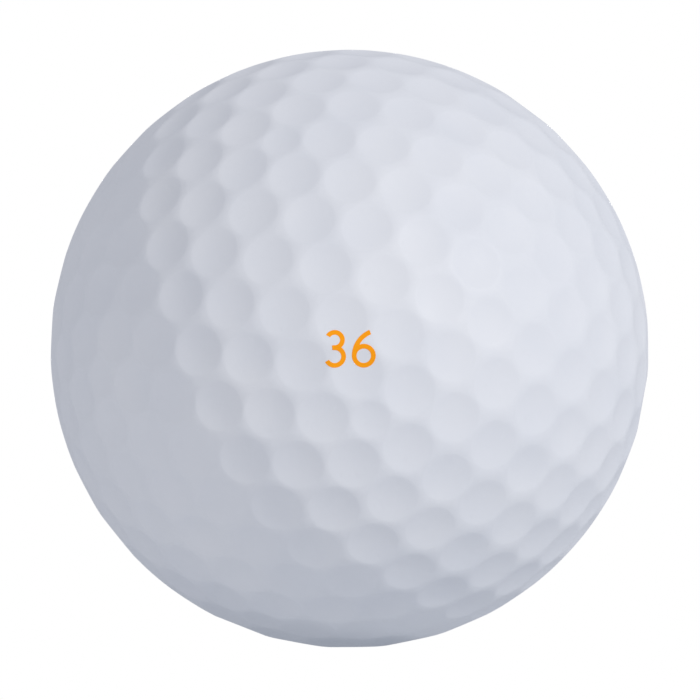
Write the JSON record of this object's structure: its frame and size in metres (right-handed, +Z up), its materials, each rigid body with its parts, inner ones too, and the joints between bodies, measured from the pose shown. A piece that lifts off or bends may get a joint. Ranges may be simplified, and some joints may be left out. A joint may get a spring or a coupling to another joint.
{
  "type": "golf ball",
  "caption": "Dimpled white ball struck with a club: bonded core, casing, cover and clear coat, with a small orange play number.",
  "frame": {"origin": "centre of the ball", "axes": "+Z up with the play number upright, -Y out through the play number, +X to the number's right"},
  "size_m": [0.0426, 0.0426, 0.0427],
  "materials": {
    "core_rubber": "moulded, ground smooth",
    "casing_ionomer": "moulded, milky",
    "cover_urethane": "white, satin",
    "orange_ink": "pad printed, flat",
    "clear_lacquer": "clear, satin"
  },
  "bodies": {
    "root": {"core": "core_rubber", "casing_layer": "casing_ionomer", "cover": "cover_urethane", "number_tens": "orange_ink", "number_units": "orange_ink", "clear_coat": "clear_lacquer"}
  },
  "joints": []
}
